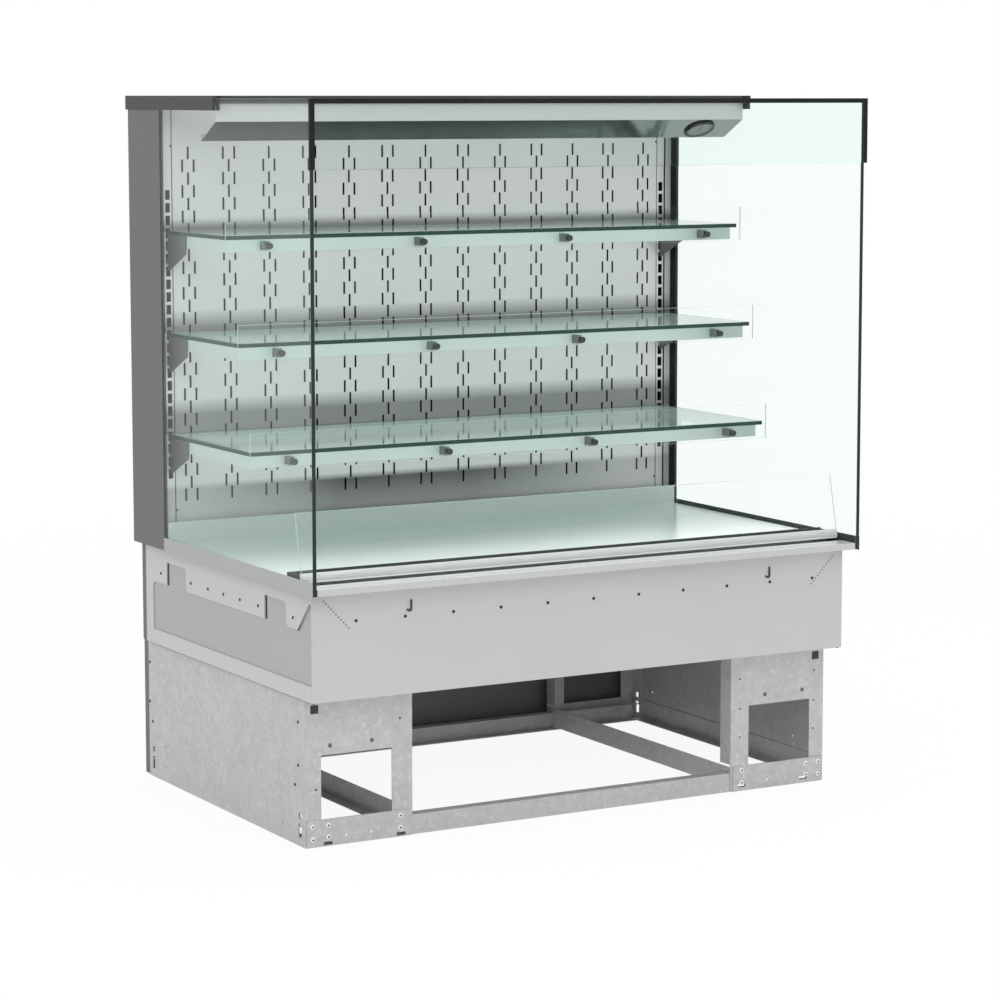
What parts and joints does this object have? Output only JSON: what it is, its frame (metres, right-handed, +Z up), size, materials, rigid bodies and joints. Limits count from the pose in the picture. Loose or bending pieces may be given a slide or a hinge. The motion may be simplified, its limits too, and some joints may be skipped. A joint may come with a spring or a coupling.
{
  "type": "heated display case",
  "caption": "Open-front self-service heated display case with glass ends, hook-on glass shelves, a slotted back wall and a raised sheet-metal base.",
  "frame": {"origin": "on the floor under the middle of the outer box", "axes": "+Z up, -Y towards the customer at the open front, +X towards the customer's right"},
  "size_m": [1.2232, 0.849, 1.392],
  "materials": {
    "galvanised": "galvanised, spangled",
    "light_sheet": "smooth satin",
    "dark_sheet": "satin dark grey",
    "glass": "clear with a green edge",
    "clear_plastic": "clear polished",
    "black_plastic": "matte",
    "rubber": "matte",
    "insulation": "plain board",
    "lamp": "opal",
    "dial_metal": "polished bezel, matt dial",
    "knob_metal": "satin",
    "motor_metal": "cast",
    "heater_metal": "heat tinted"
  },
  "bodies": {
    "cabinet": {"base_side_left": "galvanised", "base_side_right": "galvanised", "base_post_front_left": "galvanised", "base_post_front_right": "galvanised", "base_post_rear_left": "galvanised", "base_post_rear_right": "galvanised", "base_rails": "galvanised", "base_angles": "galvanised", "base_rear_panel": "dark_sheet", "base_foot_plates": "galvanised", "corner_plugs": "black_plastic", "tub_apron": "light_sheet", "tub_side_left": "light_sheet", "tub_side_right": "light_sheet", "tub_back": "dark_sheet", "tub_wall_boards": "insulation", "tub_floor": "insulation", "front_hooks": "light_sheet", "rim": "light_sheet", "glass_channels": "light_sheet", "deck_rail": "light_sheet", "deck_guard": "clear_plastic", "end_glass_left": "glass", "end_glass_right": "glass", "upright_left": "dark_sheet", "upright_right": "dark_sheet", "shelf_standards": "light_sheet", "back_wall": "light_sheet", "rear_cover": "light_sheet", "top_cap": "dark_sheet", "cap_end_pieces": "rubber", "canopy": "light_sheet", "canopy_lamp": "lamp", "top_glass": "glass", "visor_glass": "glass", "thermometer_case": "dial_metal", "thermometer_lens": "clear_plastic", "fan_plate": "galvanised", "fan_motors": "motor_metal", "heater_elements": "heater_metal", "terminal_box": "black_plastic"},
    "deck": {"deck_plate": "light_sheet"},
    "pointer": {"thermometer_pointer": "black_plastic"},
    "fan_wheel_left": {"fan_left": "black_plastic"},
    "fan_wheel_right": {"fan_right": "black_plastic"},
    "shelf_1": {"shelf_1_plate": "glass", "shelf_1_frame": "light_sheet", "shelf_1_brackets": "dark_sheet", "shelf_1_guard": "clear_plastic", "shelf_1_standoffs": "knob_metal"},
    "shelf_2": {"shelf_2_plate": "glass", "shelf_2_frame": "light_sheet", "shelf_2_brackets": "dark_sheet", "shelf_2_guard": "clear_plastic", "shelf_2_standoffs": "knob_metal"},
    "shelf_3": {"shelf_3_plate": "glass", "shelf_3_frame": "light_sheet", "shelf_3_brackets": "dark_sheet", "shelf_3_guard": "clear_plastic", "shelf_3_standoffs": "knob_metal"}
  },
  "joints": [
    {"name": "shelf_1_lift", "type": "slide", "parent": "cabinet", "child": "shelf_1", "axis": [0, 0, 1], "range_m": [0, 0.009]},
    {"name": "shelf_2_lift", "type": "slide", "parent": "cabinet", "child": "shelf_2", "axis": [0, 0, 1], "range_m": [0, 0.009]},
    {"name": "shelf_3_lift", "type": "slide", "parent": "cabinet", "child": "shelf_3", "axis": [0, 0, 1], "range_m": [0, 0.009]},
    {"name": "deck_lift", "type": "slide", "parent": "cabinet", "child": "deck", "axis": [0, 0, 1], "range_m": [0, 0.08]},
    {"name": "thermometer_turn", "type": "hinge", "parent": "cabinet", "child": "pointer", "pos_m": [0.5153, 0.0365, 1.32375], "axis": [0, -0.4722, -0.8815], "range_deg": [-135, 135]},
    {"name": "fan_spin_left", "type": "hinge", "parent": "cabinet", "child": "fan_wheel_left", "pos_m": [-0.29, 0.1375, 0.398], "axis": [0, -1, 0], "continuous": true},
    {"name": "fan_spin_right", "type": "hinge", "parent": "cabinet", "child": "fan_wheel_right", "pos_m": [0.29, 0.1375, 0.398], "axis": [0, -1, 0], "continuous": true}
  ]
}
